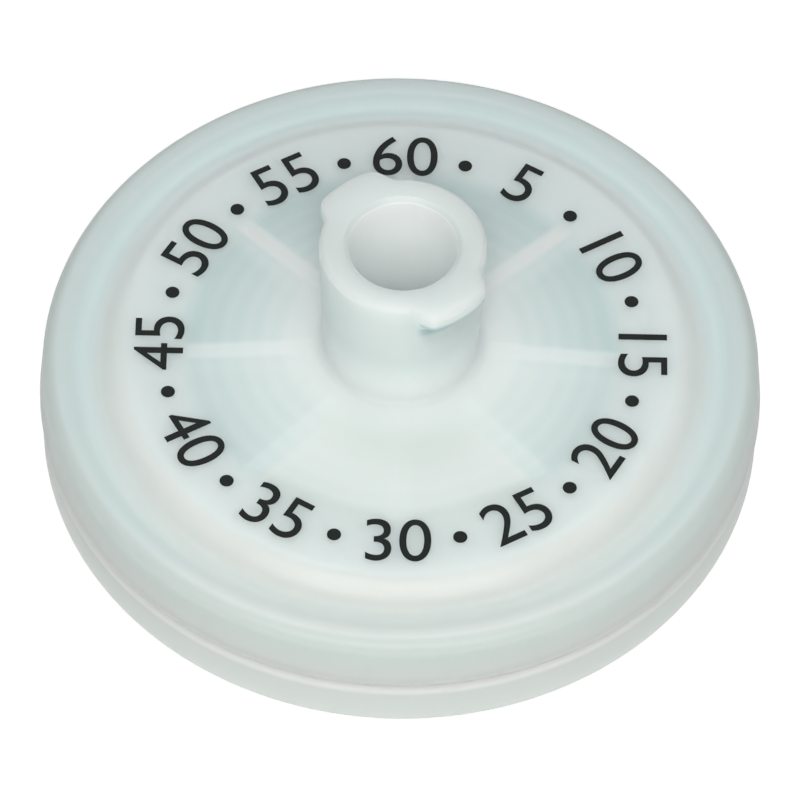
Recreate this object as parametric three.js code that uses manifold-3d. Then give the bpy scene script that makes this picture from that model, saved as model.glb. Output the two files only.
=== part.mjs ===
// Syringe filter for a 25 mm membrane. Two polypropylene half shells are welded round a membrane
// disc: the inlet shell carries a female Luer lock hub, the outlet shell a male Luer slip tip.
// Millimetres, +Z up. Z is the filter's axis, Z = 0 is the open end of the outlet tip, and the
// inlet hub points up.

import * as THREE from 'three';
import { mergeVertices } from 'three/addons/utils/BufferGeometryUtils.js';
import Module from 'manifold-3d';

// ---- Driving dimensions -------------------------------------------------------------------------

// Membrane and the fit of the two shells round it
const MEMBRANE_RADIUS = 12.5;
const MEMBRANE_THICKNESS = 0.2;
const MEMBRANE_EDGE_MARGIN = 0.1;   // the outlet plug stands this much outside the membrane's edge
const WELD_CLEARANCE = 0.15;        // between the outlet plug and the inlet skirt round it
const SEAL_WIDTH = 0.9;             // annulus at the membrane's edge that both shells press

// Weld seam: the bottom of a shallow groove round the side, where the two shells meet
const SEAM_DEPTH = 0.2;
const SEAM_FLANK_HEIGHT = 0.35;     // height of each of the groove's two slopes

// Inlet shell: the skirt and the rim at its top
const SKIRT_WALL = 1.75;
const RIM_HEIGHT = 2.6;             // from the weld seam up to the rim's crest
const RIM_DRAFT = 0.15;             // the rim is this much slimmer at its top than at the seam
const RIM_ROUND = 0.6;              // on the rim's outer edge
const CREST_LAND = 0.15;            // width of the flat crest

// Inlet shell: the face
const FACE_ABOVE_CREST = 0.35;
const INLET_PLATE = 1.6;
const HOLLOW_DEPTH = 0.6;           // hollow ring round the face, below the face
const HOLLOW_OUTER_WIDTH = 1.15;    // from the hollow ring's lowest line out to the crest
const HOLLOW_INNER_WIDTH = 1.58;    // from the face down to that line
const PRINT_BAND_WIDTH = 2.35;

// The star: flat facets on the face, and under each edge between two of them an arm inside the
// shell, which spreads the flow over the membrane
const STAR_COUNT = 8;
const FACET_FALL = 0.5;             // the facets fall this much from the hub to the print band
const FACET_ROOT = 0.05;            // the facets run on down into the face by this depth
const ARM_START = 1.8;              // radius where the arms begin
const ARM_END_GAP = 2.2;            // from the arms' tips out to the sealing ring
const ARM_ROOT_WIDTH = 1.1;
const ARM_TIP_WIDTH = 0.9;
const FEED_DEPTH = 0.6;             // height of the arms, from the plate down to the membrane

// Inlet hub: female Luer lock
const LUER_TAPER = 0.03;            // change of radius for each millimetre of length
const SOCKET_MOUTH_RADIUS = 2.15;
const SOCKET_FLOOR = 0.55;
const HUB_WALL = 1.15;
const HUB_HEIGHT = 6.75;            // above the face
const HUB_DRAFT = 0.2;              // the hub is this much slimmer at its foot
const HUB_EDGE_ROUND = 0.25;
const MOUTH_CHAMFER = 0.2;
const INLET_HOLE_RADIUS = 0.8;
const LUG_REACH = 0.6;
const LUG_SPAN = THREE.MathUtils.degToRad(50);
const LUG_DIRECTION = THREE.MathUtils.degToRad(-52);
const LUG_EDGE_THICKNESS = 0.75;
const LUG_ROOT_THICKNESS = 1.35;
const LUG_COUNT = 2;

// Outlet shell, inside: rings that carry the membrane, cut by radial drains
const DRAIN_DEPTH = 0.45;
const RING_WIDTH = 0.7;
const RING_PITCH = 1.6;
const FIRST_RING_RADIUS = 2.4;
const DRAIN_COUNT = 8;
const DRAIN_WIDTH = 0.9;

// Outlet shell: plate, rim and the fins under the plate
const OUTLET_PLATE = 1.25;
const OUTLET_RIM_HEIGHT = 2.5;      // from the weld seam down to the foot
const OUTLET_RIM_INSET = 0.07;      // the outlet rim is this much smaller than the inlet rim
const PLUG_WALL = 0.9;              // the plug's wall, which runs on down into the rim
const FOOT_ROUND = 0.5;
const FIN_COUNT = 8;
const FIN_WIDTH = 0.9;
const FIN_EDGE_HEIGHT = 0.5;

// Outlet tip: male Luer slip
const TIP_LENGTH = 8.0;
const TIP_END_RADIUS = 1.98;
const TIP_BORE_RADIUS = 1.1;
const TIP_CHAMFER = 0.2;
const TIP_BELOW_FOOT = 9.8;         // the tip's end lies this much below the foot of the rim
const BOSS_RADIUS = 3.1;
const BOSS_ROUND = 0.3;

// Fineness of the round forms
const RIM_SIDES = 72;
const HUB_SIDES = 48;
const RING_SIDES = 40;
const ARC_STEPS = 6;
const EDGE_STEPS = 3;               // of the small rounds on edges

const ROOT = 0.2;                   // depth to which an added feature runs into its wall
const OVERCUT = 0.5;                // length by which a cutter passes the surface it cuts
const SAME_POINT = 1e-4;

// ---- Levels and radii that follow from them -----------------------------------------------------

const FOOT_Z = TIP_BELOW_FOOT;
const SEAM_Z = FOOT_Z + OUTLET_RIM_HEIGHT;
const CREST_Z = SEAM_Z + RIM_HEIGHT;
const FACE_Z = CREST_Z + FACE_ABOVE_CREST;
const HOLLOW_Z = FACE_Z - HOLLOW_DEPTH;
const HUB_TOP_Z = FACE_Z + HUB_HEIGHT;
const CEILING_Z = FACE_Z - INLET_PLATE;
const MEMBRANE_TOP_Z = CEILING_Z - FEED_DEPTH;
const SEAT_Z = MEMBRANE_TOP_Z - MEMBRANE_THICKNESS;
const DRAIN_FLOOR_Z = SEAT_Z - DRAIN_DEPTH;
const UNDERSIDE_Z = DRAIN_FLOOR_Z - OUTLET_PLATE;

const PLUG_RADIUS = MEMBRANE_RADIUS + MEMBRANE_EDGE_MARGIN;
const SKIRT_INNER_RADIUS = PLUG_RADIUS + WELD_CLEARANCE;
const SEAL_INNER_RADIUS = MEMBRANE_RADIUS - SEAL_WIDTH;
const RIM_RADIUS = SKIRT_INNER_RADIUS + SKIRT_WALL;
const SEAM_RADIUS = RIM_RADIUS - SEAM_DEPTH;
const RIM_TOP_RADIUS = RIM_RADIUS - RIM_DRAFT;
const CREST_RADIUS = RIM_TOP_RADIUS - RIM_ROUND - CREST_LAND;
const HOLLOW_RADIUS = CREST_RADIUS - HOLLOW_OUTER_WIDTH;
const FACE_RADIUS = HOLLOW_RADIUS - HOLLOW_INNER_WIDTH;
const STAR_RADIUS = FACE_RADIUS - PRINT_BAND_WIDTH;
const HUB_RADIUS = SOCKET_MOUTH_RADIUS + HUB_WALL;
const LUG_RADIUS = HUB_RADIUS + LUG_REACH;
const OUTLET_RIM_RADIUS = RIM_RADIUS - OUTLET_RIM_INSET;
const OUTLET_RIM_INNER_RADIUS = PLUG_RADIUS - PLUG_WALL;

// ---- Geometry helpers ---------------------------------------------------------------------------

const wasm = await Module();
wasm.setup();

const at = (radius, z) => new THREE.Vector2(radius, z);

// Points of an arc in the (radius, z) plane, from one angle to another.
function arc(centreRadius, centreZ, round, fromAngle, toAngle, steps) {
  const curve = new THREE.EllipseCurve(centreRadius, centreZ, round, round, fromAngle, toAngle);
  return curve.getPoints(steps);
}

// Points of the round on an outer upper edge, from the side up and in to the top.
function upperEdge(radius, topZ, round, steps) {
  return arc(radius - round, topZ - round, round, 0, Math.PI / 2, steps);
}

// Points of a soft S between two points: level at both ends.
function softStep(from, to) {
  const half = (from.x + to.x) / 2;
  return new THREE.CubicBezierCurve(from, at(half, from.y), at(half, to.y), to).getPoints(ARC_STEPS);
}

// A closed THREE geometry as a solid that can be joined and cut.
function solidFrom(geometry) {
  const bare = geometry.clone();
  bare.deleteAttribute('normal');
  bare.deleteAttribute('uv');
  const merged = mergeVertices(bare, SAME_POINT);
  const corners = merged.getIndex().array;
  const triVerts = [];
  for (let i = 0; i < corners.length; i += 3) {
    const [a, b, c] = corners.slice(i, i + 3);
    if (a !== b && b !== c && c !== a) triVerts.push(a, b, c);
  }
  return new wasm.Manifold(new wasm.Mesh({
    numProp: 3,
    vertProperties: merged.getAttribute('position').array,
    triVerts: new Uint32Array(triVerts),
  }));
}

// A solid of revolution about Z. The profile runs counter-clockwise in the (radius, z) plane.
function revolve(profile, sides) {
  const distinct = profile.filter((p, i) => i === 0 || p.distanceTo(profile[i - 1]) > SAME_POINT);
  return solidFrom(new THREE.LatheGeometry(distinct, sides).rotateX(Math.PI / 2));
}

// A closed ring of revolution: its profile returns to where it starts.
function revolveRing(profile, sides) {
  return revolve([...profile, profile[0]], sides);
}

// A flat outline in plan, raised from one level to another.
function prism(shape, fromZ, toZ) {
  const geometry = new THREE.ExtrudeGeometry(shape, {
    depth: toZ - fromZ, bevelEnabled: false, curveSegments: ARC_STEPS });
  return solidFrom(geometry.translate(0, 0, fromZ));
}

// A straight bar in plan along +X.
function bar(fromRadius, toRadius, width, fromZ, toZ) {
  const geometry = new THREE.BoxGeometry(toRadius - fromRadius, width, toZ - fromZ);
  return solidFrom(geometry.translate((fromRadius + toRadius) / 2, 0, (fromZ + toZ) / 2));
}

// A round pin or cutter along Z, which may taper.
function round(bottomRadius, topRadius, fromZ, toZ, sides) {
  return revolve([at(0, fromZ), at(bottomRadius, fromZ), at(topRadius, toZ), at(0, toZ)], sides);
}

function turned(solid, angle) {
  return solid.rotate([0, 0, THREE.MathUtils.radToDeg(angle)]);
}

// Copies of a solid, evenly spaced about the axis and joined.
function aroundAxis(solid, count, startAngle = 0) {
  const copies = Array.from({ length: count }, (_, i) =>
    turned(solid, startAngle + i * 2 * Math.PI / count));
  return copies.reduce((joined, copy) => joined.add(copy));
}

function meshFrom(name, solid, material) {
  const { vertProperties, triVerts } = solid.getMesh();
  const geometry = new THREE.BufferGeometry();
  geometry.setAttribute('position', new THREE.BufferAttribute(vertProperties, 3));
  geometry.setIndex(new THREE.BufferAttribute(triVerts, 1));
  geometry.computeVertexNormals();
  const mesh = new THREE.Mesh(geometry, material);
  mesh.name = name;
  return mesh;
}

// ---- Inlet shell --------------------------------------------------------------------------------

// Plate, sealing ring, skirt and rim, in one revolve.
function inletDisc() {
  const hollow = at(HOLLOW_RADIUS, HOLLOW_Z);
  return revolve([
    at(0, CEILING_Z),
    at(SEAL_INNER_RADIUS, CEILING_Z),
    at(SEAL_INNER_RADIUS, MEMBRANE_TOP_Z),
    at(SKIRT_INNER_RADIUS, MEMBRANE_TOP_Z),
    at(SKIRT_INNER_RADIUS, SEAM_Z),
    at(SEAM_RADIUS, SEAM_Z),
    at(RIM_RADIUS, SEAM_Z + SEAM_FLANK_HEIGHT),
    ...upperEdge(RIM_TOP_RADIUS, CREST_Z, RIM_ROUND, ARC_STEPS),
    ...softStep(at(CREST_RADIUS, CREST_Z), hollow),
    ...softStep(hollow, at(FACE_RADIUS, FACE_Z)),
    at(0, FACE_Z),
  ], RIM_SIDES);
}

// Flat facets that fall gently from the hub to the print band, as on a many-sided tent.
function starFacets() {
  const height = FACET_FALL + FACET_ROOT;
  const spread = (STAR_RADIUS - HUB_RADIUS) * height / FACET_FALL;
  const tent = new THREE.CylinderGeometry(
    HUB_RADIUS, HUB_RADIUS + spread, height, STAR_COUNT, 1, false, Math.PI / 2);
  return solidFrom(tent.rotateX(Math.PI / 2).translate(0, 0, FACE_Z - FACET_ROOT + height / 2));
}

// Arms under the plate, which taper from the middle outwards and end in round tips.
function starArms() {
  const tipCentre = SEAL_INNER_RADIUS - ARM_END_GAP - ARM_TIP_WIDTH / 2;
  const plan = new THREE.Shape();
  plan.moveTo(ARM_START, -ARM_ROOT_WIDTH / 2);
  plan.lineTo(tipCentre, -ARM_TIP_WIDTH / 2);
  plan.absarc(tipCentre, 0, ARM_TIP_WIDTH / 2, -Math.PI / 2, Math.PI / 2, false);
  plan.lineTo(ARM_START, ARM_ROOT_WIDTH / 2);
  plan.closePath();
  return aroundAxis(prism(plan, MEMBRANE_TOP_Z, CEILING_Z + ROOT), STAR_COUNT);
}

function hubBody() {
  const footRadius = HUB_RADIUS - HUB_DRAFT;
  return revolve([
    at(0, FACE_Z - ROOT),
    at(footRadius, FACE_Z - ROOT),
    ...upperEdge(HUB_RADIUS, HUB_TOP_Z, HUB_EDGE_ROUND, EDGE_STEPS),
    at(0, HUB_TOP_Z),
  ], HUB_SIDES);
}

// Two lugs that a Luer lock collar screws over: a ring with a sloped underside, kept only where
// the lugs are.
function lockLugs() {
  const rootRadius = HUB_RADIUS - HUB_EDGE_ROUND - ROOT;
  const ring = revolveRing([
    at(rootRadius, HUB_TOP_Z - LUG_ROOT_THICKNESS),
    at(HUB_RADIUS, HUB_TOP_Z - LUG_ROOT_THICKNESS),
    at(LUG_RADIUS, HUB_TOP_Z - LUG_EDGE_THICKNESS),
    ...upperEdge(LUG_RADIUS, HUB_TOP_Z, HUB_EDGE_ROUND, EDGE_STEPS),
    at(rootRadius, HUB_TOP_Z),
  ], HUB_SIDES);
  const sector = new THREE.Shape();
  sector.absarc(0, 0, LUG_RADIUS + OVERCUT, -LUG_SPAN / 2, LUG_SPAN / 2, false);
  sector.lineTo(0, 0);
  sector.closePath();
  const wedge = prism(sector, HUB_TOP_Z - LUG_ROOT_THICKNESS - OVERCUT, HUB_TOP_Z + OVERCUT);
  const wedges = aroundAxis(wedge, LUG_COUNT, LUG_DIRECTION);
  return ring.intersect(wedges);
}

// The tapered socket with its chamfered mouth, and the small hole in its floor.
function luerSocket() {
  const floorZ = CEILING_Z + SOCKET_FLOOR;
  const floorRadius = SOCKET_MOUTH_RADIUS - (HUB_TOP_Z - floorZ) * LUER_TAPER;
  const socket = revolve([
    at(0, floorZ),
    at(floorRadius, floorZ),
    at(SOCKET_MOUTH_RADIUS - MOUTH_CHAMFER * LUER_TAPER, HUB_TOP_Z - MOUTH_CHAMFER),
    at(SOCKET_MOUTH_RADIUS + MOUTH_CHAMFER + OVERCUT, HUB_TOP_Z + OVERCUT),
    at(0, HUB_TOP_Z + OVERCUT),
  ], HUB_SIDES);
  const hole = round(
    INLET_HOLE_RADIUS, INLET_HOLE_RADIUS, CEILING_Z - OVERCUT, floorZ + OVERCUT, HUB_SIDES / 2);
  return socket.add(hole);
}

function inletShell() {
  return inletDisc()
    .add(starFacets())
    .add(starArms())
    .add(hubBody())
    .add(lockLugs())
    .subtract(luerSocket());
}

// ---- Membrane -----------------------------------------------------------------------------------

function membrane() {
  return round(MEMBRANE_RADIUS, MEMBRANE_RADIUS, SEAT_Z, MEMBRANE_TOP_Z, RIM_SIDES);
}

// ---- Outlet shell -------------------------------------------------------------------------------

// Plate, plug, sealing seat and the rim that is welded to the skirt, in one revolve.
function outletDisc() {
  const roundZ = FOOT_Z + FOOT_ROUND;
  return revolve([
    at(0, UNDERSIDE_Z),
    at(OUTLET_RIM_INNER_RADIUS - FOOT_ROUND, UNDERSIDE_Z),
    at(OUTLET_RIM_INNER_RADIUS, UNDERSIDE_Z - FOOT_ROUND),
    ...arc(OUTLET_RIM_INNER_RADIUS + FOOT_ROUND, roundZ, FOOT_ROUND, Math.PI, 1.5 * Math.PI, EDGE_STEPS),
    ...arc(OUTLET_RIM_RADIUS - FOOT_ROUND, roundZ, FOOT_ROUND, -Math.PI / 2, 0, EDGE_STEPS),
    at(OUTLET_RIM_RADIUS, SEAM_Z - SEAM_FLANK_HEIGHT),
    at(SEAM_RADIUS, SEAM_Z),
    at(PLUG_RADIUS, SEAM_Z),
    at(PLUG_RADIUS, SEAT_Z),
    at(SEAL_INNER_RADIUS, SEAT_Z),
    at(SEAL_INNER_RADIUS, DRAIN_FLOOR_Z),
    at(0, DRAIN_FLOOR_Z),
  ], RIM_SIDES);
}

// Support rings under the membrane, open where the radial drains cross them.
function supportRings() {
  const room = SEAL_INNER_RADIUS - RING_WIDTH - FIRST_RING_RADIUS;
  const count = Math.floor(room / RING_PITCH) + 1;
  const bottom = DRAIN_FLOOR_Z - ROOT;
  const rings = Array.from({ length: count }, (_, i) => {
    const inner = FIRST_RING_RADIUS + i * RING_PITCH - RING_WIDTH / 2;
    const outer = inner + RING_WIDTH;
    const section = [at(inner, bottom), at(outer, bottom), at(outer, SEAT_Z), at(inner, SEAT_Z)];
    return revolveRing(section, RING_SIDES);
  });
  const drain = bar(0, SEAL_INNER_RADIUS, DRAIN_WIDTH, bottom - OVERCUT, SEAT_Z + OVERCUT);
  const joined = rings.reduce((sum, ring) => sum.add(ring));
  return joined.subtract(aroundAxis(drain, DRAIN_COUNT));
}

// The tip, and the boss that carries it under the plate.
function outletTip() {
  const rootRadius = TIP_END_RADIUS + TIP_LENGTH * LUER_TAPER;
  return revolve([
    at(0, 0),
    at(TIP_END_RADIUS - TIP_CHAMFER, 0),
    at(TIP_END_RADIUS + TIP_CHAMFER * LUER_TAPER, TIP_CHAMFER),
    at(rootRadius, TIP_LENGTH),
    ...arc(BOSS_RADIUS - BOSS_ROUND, TIP_LENGTH + BOSS_ROUND, BOSS_ROUND, -Math.PI / 2, 0, EDGE_STEPS),
    at(BOSS_RADIUS, UNDERSIDE_Z + ROOT),
    at(0, UNDERSIDE_Z + ROOT),
  ], HUB_SIDES);
}

// Fins from the boss out to the rim, under the plate, with a hollow curve to their lower edges.
function fins() {
  const rootRadius = BOSS_RADIUS - ROOT;
  const outer = OUTLET_RIM_INNER_RADIUS + ROOT;
  const bossFoot = TIP_LENGTH + 2 * BOSS_ROUND;
  const fin = bar(rootRadius, outer, FIN_WIDTH, bossFoot, UNDERSIDE_Z + ROOT);
  const lowerEdge = new THREE.QuadraticBezierCurve(
    at(rootRadius, bossFoot),
    at(BOSS_RADIUS + FIN_WIDTH, UNDERSIDE_Z - FIN_EDGE_HEIGHT),
    at(outer, UNDERSIDE_Z - FIN_EDGE_HEIGHT));
  const aboveEdge = revolveRing([
    ...lowerEdge.getPoints(ARC_STEPS),
    at(outer, UNDERSIDE_Z + OVERCUT),
    at(rootRadius, UNDERSIDE_Z + OVERCUT),
  ], RIM_SIDES);
  return aroundAxis(fin, FIN_COUNT).intersect(aboveEdge);
}

function outletShell() {
  const bore = round(
    TIP_BORE_RADIUS, TIP_BORE_RADIUS, -OVERCUT, DRAIN_FLOOR_Z + OVERCUT, HUB_SIDES / 2);
  return outletDisc()
    .add(supportRings())
    .add(outletTip())
    .add(fins())
    .subtract(bore);
}

// ---- Assembly -----------------------------------------------------------------------------------

const shellMaterial = new THREE.MeshStandardMaterial({ color: '#d9e2df', roughness: 0.45, metalness: 0 });
const membraneMaterial = new THREE.MeshStandardMaterial({ color: '#f3f3f0', roughness: 0.9, metalness: 0 });

const syringeFilter = new THREE.Group();
syringeFilter.add(meshFrom('inlet_shell', inletShell(), shellMaterial));
syringeFilter.add(meshFrom('membrane', membrane(), membraneMaterial));
syringeFilter.add(meshFrom('outlet_shell', outletShell(), shellMaterial));

export default syringeFilter;
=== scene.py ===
# %% [markdown]
# # A syringe filter in moulded polypropylene
#
# The filter is two round mouldings welded together with a membrane between them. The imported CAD
# model is the frame: it fixes every size and place. This script turns finer shells on that frame,
# gives them a milky plastic, prints a ring of plain numbers on the face, and sets the stage.

# %% Load the frame
import math
import bpy
import numpy as np
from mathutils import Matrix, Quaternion, Vector


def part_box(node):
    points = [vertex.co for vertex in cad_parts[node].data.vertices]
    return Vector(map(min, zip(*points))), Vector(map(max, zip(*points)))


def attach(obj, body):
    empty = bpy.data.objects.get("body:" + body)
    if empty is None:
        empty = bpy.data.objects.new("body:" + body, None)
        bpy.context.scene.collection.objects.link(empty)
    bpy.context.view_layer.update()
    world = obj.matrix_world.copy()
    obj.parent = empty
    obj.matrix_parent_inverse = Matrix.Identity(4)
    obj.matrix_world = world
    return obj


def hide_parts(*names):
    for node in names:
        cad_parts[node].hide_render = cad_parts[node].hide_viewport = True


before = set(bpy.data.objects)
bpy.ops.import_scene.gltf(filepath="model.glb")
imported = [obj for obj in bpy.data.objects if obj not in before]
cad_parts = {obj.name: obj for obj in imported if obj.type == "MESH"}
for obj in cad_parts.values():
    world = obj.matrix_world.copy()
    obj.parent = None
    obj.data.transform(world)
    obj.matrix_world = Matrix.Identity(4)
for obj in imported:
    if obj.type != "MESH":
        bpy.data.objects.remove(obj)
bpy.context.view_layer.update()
print("nodes in the frame:", sorted(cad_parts))

# %% [markdown]
# ## Sizes
#
# Blender works in metres, and this filter is small, so its sizes are written in millimetres and
# multiplied by MM where Blender takes them. The levels come from the boxes of the CAD nodes: the
# foot of the inlet shell is the weld seam, its top is the end of the hub, and the membrane lies
# between the two faces that grip it. The crest of the rim is a little lower than the face.

# %% Levels and radii from the frame
MM = 0.001

inlet_low, inlet_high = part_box("inlet_shell")
outlet_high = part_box("outlet_shell")[1]
membrane_low, membrane_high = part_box("membrane")

RIM_RADIUS = inlet_high.x / MM
OUTLET_RIM_RADIUS = outlet_high.x / MM
MEMBRANE_RADIUS = membrane_high.x / MM
SEAM_Z = inlet_low.z / MM
HUB_TOP_Z = inlet_high.z / MM
MEMBRANE_TOP_Z = membrane_high.z / MM
SEAT_Z = membrane_low.z / MM

HUB_HEIGHT = 6.75
CREST_BELOW_FACE = 0.35
FACE_Z = HUB_TOP_Z - HUB_HEIGHT
CREST_Z = FACE_Z - CREST_BELOW_FACE
print(f"rim radius {RIM_RADIUS:.2f} mm, seam at {SEAM_Z:.2f} mm, face at {FACE_Z:.2f} mm")

# %% [markdown]
# ## The camera
#
# A product picture is taken from the front and well above, with a long lens from about a quarter
# of a metre away, so that the round rim stays an even oval. The camera turns on a point a little
# below the face, and leans by about a degree. The view is 32 mm wide at that point, a little more
# than the filter.

# %% Camera
CAMERA_ELEVATION = math.radians(53.9)
CAMERA_DISTANCE = 0.261
CAMERA_ROLL = math.radians(1.17)
AIM_BELOW_FACE = 2.0
AIM_POINT = Vector((0.004, -1.19, FACE_Z - AIM_BELOW_FACE)) * MM
VIEW_WIDTH = 32.0834 * MM
SENSOR_WIDTH_MM = 36


def add_camera():
    towards = Vector((0, -math.cos(CAMERA_ELEVATION), math.sin(CAMERA_ELEVATION)))
    bpy.ops.object.camera_add(location=AIM_POINT + towards * CAMERA_DISTANCE)
    camera = bpy.context.object
    camera.name = "product_camera"
    camera.rotation_mode = "QUATERNION"
    lean = Quaternion((0, 0, 1), CAMERA_ROLL)
    camera.rotation_quaternion = (-towards).to_track_quat("-Z", "Y") @ lean
    camera.data.sensor_width = SENSOR_WIDTH_MM
    camera.data.lens = SENSOR_WIDTH_MM * CAMERA_DISTANCE / VIEW_WIDTH
    camera.data.clip_start = 0.01
    camera.data.clip_end = 20
    bpy.context.scene.camera = camera
    return camera


camera = add_camera()
print(f"lens {camera.data.lens:.0f} mm")

# %% [markdown]
# ## Arithmetic on shader sockets
#
# A shader tree is easier to read as a formula than as a list of nodes. The class below wraps one
# output socket. Adding, subtracting, multiplying or dividing wrapped sockets adds Math nodes, as
# do the short methods, and every other kind of node comes from `node`, which takes its settings
# first and then what goes into it.


# %% One wrapped socket
class Field:
    """One output of a shader tree, on which Python's operators work."""

    def __init__(self, tree, output):
        self.tree = tree
        self.output = output

    def node(self, kind, settings, inputs, output=0):
        """A new node with its settings and inputs, wrapped at one of its outputs."""
        made = self.tree.nodes.new(kind)
        for name, value in settings.items():
            setattr(made, name, value)
        for name, value in inputs.items():
            if isinstance(value, Field):
                self.tree.links.new(value.output, made.inputs[name])
            else:
                made.inputs[name].default_value = value
        return Field(self.tree, made.outputs[output])

    def math(self, operation, *values):
        return self.node("ShaderNodeMath", {"operation": operation}, dict(enumerate(values)))

    def __add__(self, other):
        return self.math("ADD", self, other)

    def __radd__(self, other):
        return self.math("ADD", other, self)

    def __sub__(self, other):
        return self.math("SUBTRACT", self, other)

    def __rsub__(self, other):
        return self.math("SUBTRACT", other, self)

    def __mul__(self, other):
        return self.math("MULTIPLY", self, other)

    def __rmul__(self, other):
        return self.math("MULTIPLY", other, self)

    def __truediv__(self, other):
        return self.math("DIVIDE", self, other)

    def absolute(self):
        return self.math("ABSOLUTE", self)

    def square_root(self):
        return self.math("SQRT", self)

    def sine(self):
        return self.math("SINE", self)

    def lesser(self, other):
        return self.math("MINIMUM", self, other)

    def greater(self, other):
        return self.math("MAXIMUM", self, other)

    def step(self, start, end):
        """0 below start, 1 above end, and a soft rise between them."""
        settings = {"interpolation_type": "SMOOTHSTEP"}
        return self.node("ShaderNodeMapRange", settings, {0: self, 1: start, 2: end})

    def mix(self, low, high):
        """A colour that turns from low to high as this value goes from 0 to 1."""
        settings = {"data_type": "RGBA"}
        return self.node("ShaderNodeMix", settings, {0: self, 6: low, 7: high}, output=2)


# %% [markdown]
# ## A material to build on
#
# Each finish starts from a Principled shader. What is the same all over is set on the shader's
# own sockets. What changes over the surface is worked out from Object coordinates, in
# millimetres, so that a pattern has its real scale.


# %% Starting a material
def colour(red, green, blue):
    return (red, green, blue, 1)


def start_material(name, constants):
    material = bpy.data.materials.new(name)
    material.use_nodes = True
    shader = material.node_tree.nodes["Principled BSDF"]
    for socket, value in constants.items():
        shader.inputs[socket].default_value = value
    return material, shader


def object_point(material):
    """The point on the surface, in millimetres, as a vector field and its x, y and z."""
    start = Field(material.node_tree, None)
    place = start.node("ShaderNodeTexCoord", {}, {}, output="Object")
    scaled = start.node("ShaderNodeVectorMath", {"operation": "SCALE"}, {0: place, 3: 1 / MM})
    split = start.node("ShaderNodeSeparateXYZ", {}, {0: scaled})
    nodes = split.output.node
    x, y, z = (Field(material.node_tree, nodes.outputs[i]) for i in range(3))
    return scaled, x, y, z


def feed(shader, socket, field):
    field.tree.links.new(field.output, shader.inputs[socket])


# %% [markdown]
# ## Natural polypropylene
#
# Natural polypropylene is neither clear nor white: light enters it, spreads through a few
# millimetres and comes out again. Subsurface scattering does this. Where a wall is thin, much of
# the light goes on through it and the plastic looks a little blue-green; where it is thick, the
# light comes back and it looks white. So the base colour changes by zone: the socket, the hub and
# its root, the star, a plain band under the print, a step, the hollow ring, the rim and its edge,
# and down the side the wall and the pale line of the weld. Some of these colours are painted light
# and shade. The socket, the root of the hub and the middle of the star are painted lighter against
# the shade in and around the hub. The rim's edge is painted darker against the highlight there, and
# a shadow is painted under the lugs. The star, the step, the hollow and the rim have a second colour
# too: painted light that makes them paler towards the front.

# %% Colours by zone
# Painted light: the socket is painted near white for the light that its thin wall lets in.
SOCKET_PAINTED_LIGHT = colour(0.90, 0.998, 0.992)
HUB_COLOUR = colour(0.67, 0.745, 0.74)
# Painted shadow: the dark line under each lug.
LUG_SHADOW_COLOUR = colour(0.42, 0.56, 0.58)
# Painted light: the root of the hub is painted pale against the shade at its foot.
ROOT_PAINTED_LIGHT = colour(0.84, 0.965, 0.95)
ARM_COLOUR = colour(0.85, 0.97, 0.965)
# The inner sector colour is, in part, painted light against the shade at the foot of the hub.
SECTOR_INNER = colour(0.78, 0.88, 0.87)
SECTOR_OUTER = colour(0.61, 0.755, 0.755)
# Painted light: the star's colour where the light from the front falls.
STAR_FRONT_LIGHT = colour(0.78, 0.88, 0.85)
BAND_COLOUR = colour(0.76, 0.90, 0.89)
STEP_COLOUR = colour(0.78, 0.89, 0.88)
# Painted light: the step's colour towards the front.
STEP_FRONT_LIGHT = colour(0.79, 0.855, 0.825)
HOLLOW_COLOUR = colour(0.70, 0.86, 0.865)
# Painted light: the hollow's colour towards the front.
HOLLOW_FRONT_LIGHT = colour(0.77, 0.855, 0.835)
RIM_COLOUR = colour(0.59, 0.69, 0.69)
# Painted light: the rim's colour at the very front.
RIM_FRONT_LIGHT = colour(0.67, 0.725, 0.715)
# Painted shade: the rim's edge is darker against the key's highlight on its round.
EDGE_PAINTED_SHADE = colour(0.54, 0.615, 0.60)
WALL_COLOUR = colour(0.64, 0.70, 0.685)
SEAM_COLOUR = colour(0.86, 0.97, 0.95)


# %% [markdown]
# Inside the shell eight arms run outwards under the plate, and the plate is thin and cloudy, so
# the arms show through it as pale bands. The next cell measures how far a point on the face is
# from the nearest arm. Four lines through the axis are enough, since each holds two arms. What
# lies under a plate shows a little nearer to a reader in front than it stands, so the star can be
# drawn towards the front by the amount `sunk`.

# %% Distance to the arms
def distance_to_arms(x, y, sunk):
    y = y + sunk
    half_right = math.sqrt(0.5)
    nearest = x.absolute().lesser(y.absolute())
    nearest = nearest.lesser(((x - y) * half_right).absolute())
    return nearest.lesser(((x + y) * half_right).absolute())


# %% [markdown]
# An arm shows as a crisp core with a wide soft glow beside it, and it fades where its tip ends
# and where the painted light at the front covers it. Between the arms the colour darkens from the
# root of the hub outwards, and the pale inner part is, in part, painted light against the shade at
# the foot of the hub. Light from the front is painted on in two steps, as it meets the facets one
# by one: weak over the front half, and weakest on its left, but strong in the fan of the two
# foremost facets. Wide, faint rings from the turned mould run through all of it. Each pair of
# numbers says where a soft change starts and ends, in millimetres.

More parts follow.
